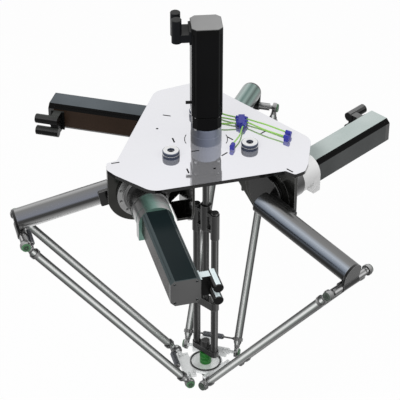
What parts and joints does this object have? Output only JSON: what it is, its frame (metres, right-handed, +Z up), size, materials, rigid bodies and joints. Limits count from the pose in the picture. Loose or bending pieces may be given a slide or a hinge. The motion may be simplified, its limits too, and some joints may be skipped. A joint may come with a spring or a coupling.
{
  "type": "delta robot",
  "caption": "Ceiling-hung delta robot: base plate, arm drives, upper arms with ball-jointed rod pairs, a tool platform and a telescopic shaft that turns the tool.",
  "frame": {"origin": "centre of the three standoffs' top plane, on the wrist axis", "axes": "+Z up along the wrist axis, towards the frame the robot hangs from; arms at -165, -45 and 75 degrees about +Z from +X"},
  "size_m": [1.221, 1.2545, 1.4387],
  "materials": {
    "polished_plate": "mirror-polished stainless steel",
    "polished_bracket": "mirror-polished stainless steel plate",
    "turned_steel": "turned steel with fine tool marks",
    "grey_gearbox": "satin grey-blue housing",
    "gloss_black": "gloss black paint",
    "brushed_cap": "brushed light grey",
    "cap_grey": "satin mid grey",
    "plug_metal": "semi-gloss dark metal",
    "bright_steel": "bright machined steel",
    "ground_steel": "polished ground steel",
    "dark_rod": "dark polished steel",
    "dark_steel": "blackened steel",
    "socket_grey": "satin moulded",
    "cap_green": "dark green moulded",
    "joint_green": "green anodised look",
    "milled_aluminium": "milled",
    "dark_ring": "seal ring",
    "fitting_blue": "navy blue moulded",
    "tube_green": "light green polyurethane tube"
  },
  "bodies": {
    "root": {"base_plate": "polished_plate", "standoffs": "turned_steel", "wrist_gearbox": "grey_gearbox", "wrist_flange": "gloss_black", "wrist_motor": "gloss_black", "wrist_motor_cap": "brushed_cap", "wrist_motor_plugs": "plug_metal", "air_manifold": "fitting_blue", "air_tubes": "tube_green", "bracket_a": "polished_bracket", "gearbox_a": "bright_steel", "motor_adapter_a": "bright_steel", "motor_a": "gloss_black", "motor_cap_a": "cap_grey", "motor_plugs_a": "plug_metal", "bracket_b": "polished_bracket", "gearbox_b": "bright_steel", "motor_adapter_b": "bright_steel", "motor_b": "gloss_black", "motor_cap_b": "cap_grey", "motor_plugs_b": "plug_metal", "bracket_c": "polished_bracket", "gearbox_c": "bright_steel", "motor_adapter_c": "bright_steel", "motor_c": "gloss_black", "motor_cap_c": "cap_grey", "motor_plugs_c": "plug_metal"},
    "upper_arm_a": {"arm_hub_a": "dark_steel", "upper_arm_tube_a": "ground_steel", "elbow_end_plate_a": "dark_steel", "elbow_cross_shaft_a": "ground_steel"},
    "forearm_a": {"forearm_rods_a": "ground_steel", "socket_shells_a": "socket_grey", "socket_caps_a": "cap_green", "rod_springs_a": "dark_steel"},
    "upper_arm_b": {"arm_hub_b": "dark_steel", "upper_arm_tube_b": "ground_steel", "elbow_end_plate_b": "dark_steel", "elbow_cross_shaft_b": "ground_steel"},
    "forearm_b": {"forearm_rods_b": "ground_steel", "socket_shells_b": "socket_grey", "socket_caps_b": "cap_green", "rod_springs_b": "dark_steel"},
    "upper_arm_c": {"arm_hub_c": "dark_steel", "upper_arm_tube_c": "ground_steel", "elbow_end_plate_c": "dark_steel", "elbow_cross_shaft_c": "ground_steel"},
    "forearm_c": {"forearm_rods_c": "ground_steel", "socket_shells_c": "socket_grey", "socket_caps_c": "cap_green", "rod_springs_c": "dark_steel"},
    "wrist_shaft": {"wrist_shaft": "ground_steel", "shaft_collar": "dark_steel"},
    "platform": {"platform_plate": "milled_aluminium", "tool_ring": "dark_ring", "rotary_joint": "joint_green"},
    "tool": {"tool_yoke": "dark_steel", "guide_rods": "dark_rod", "sliding_bracket": "dark_steel"}
  },
  "joints": [
    {"name": "shoulder_a", "type": "hinge", "parent": "root", "child": "upper_arm_a", "pos_m": [-0.21154, -0.05668, -0.139], "axis": [0.2588, -0.9659, 0], "range_deg": [-10, 10]},
    {"name": "elbow_a", "type": "hinge", "parent": "upper_arm_a", "child": "forearm_a", "pos_m": [-0.58063, -0.15558, -0.25728], "axis": [0.2588, -0.9659, 0], "range_deg": [-12, 12]},
    {"name": "shoulder_b", "type": "hinge", "parent": "root", "child": "upper_arm_b", "pos_m": [0.15486, -0.15486, -0.139], "axis": [0.7071, 0.7071, 0], "range_deg": [-10, 10]},
    {"name": "elbow_b", "type": "hinge", "parent": "upper_arm_b", "child": "forearm_b", "pos_m": [0.42505, -0.42505, -0.25728], "axis": [0.7071, 0.7071, 0], "range_deg": [-12, 12]},
    {"name": "shoulder_c", "type": "hinge", "parent": "root", "child": "upper_arm_c", "pos_m": [0.05668, 0.21154, -0.139], "axis": [-0.9659, 0.2588, 0], "range_deg": [-10, 10]},
    {"name": "elbow_c", "type": "hinge", "parent": "upper_arm_c", "child": "forearm_c", "pos_m": [0.15558, 0.58063, -0.25728], "axis": [-0.9659, 0.2588, 0], "range_deg": [-12, 12]},
    {"name": "platform_lift", "type": "slide", "parent": "root", "child": "platform", "axis": [0, 0, 1], "range_m": [-0.085, 0.085]},
    {"name": "wrist_spin", "type": "hinge", "parent": "root", "child": "wrist_shaft", "pos_m": [0, 0, 0], "axis": [0, 0, 1], "continuous": true},
    {"name": "tool_spin", "type": "hinge", "parent": "platform", "child": "tool", "pos_m": [0, 0, 0], "axis": [0, 0, 1], "continuous": true}
  ],
  "couplings": [
    {"joint": "elbow_a", "follows": "shoulder_a", "ratio": -1.1744},
    {"joint": "shoulder_b", "follows": "shoulder_a", "ratio": 1},
    {"joint": "elbow_b", "follows": "shoulder_a", "ratio": -1.1744},
    {"joint": "shoulder_c", "follows": "shoulder_a", "ratio": 1},
    {"joint": "elbow_c", "follows": "shoulder_a", "ratio": -1.1744},
    {"joint": "platform_lift", "follows": "shoulder_a", "m_per_rad": -0.47315},
    {"joint": "tool_spin", "follows": "wrist_spin", "ratio": 1}
  ]
}
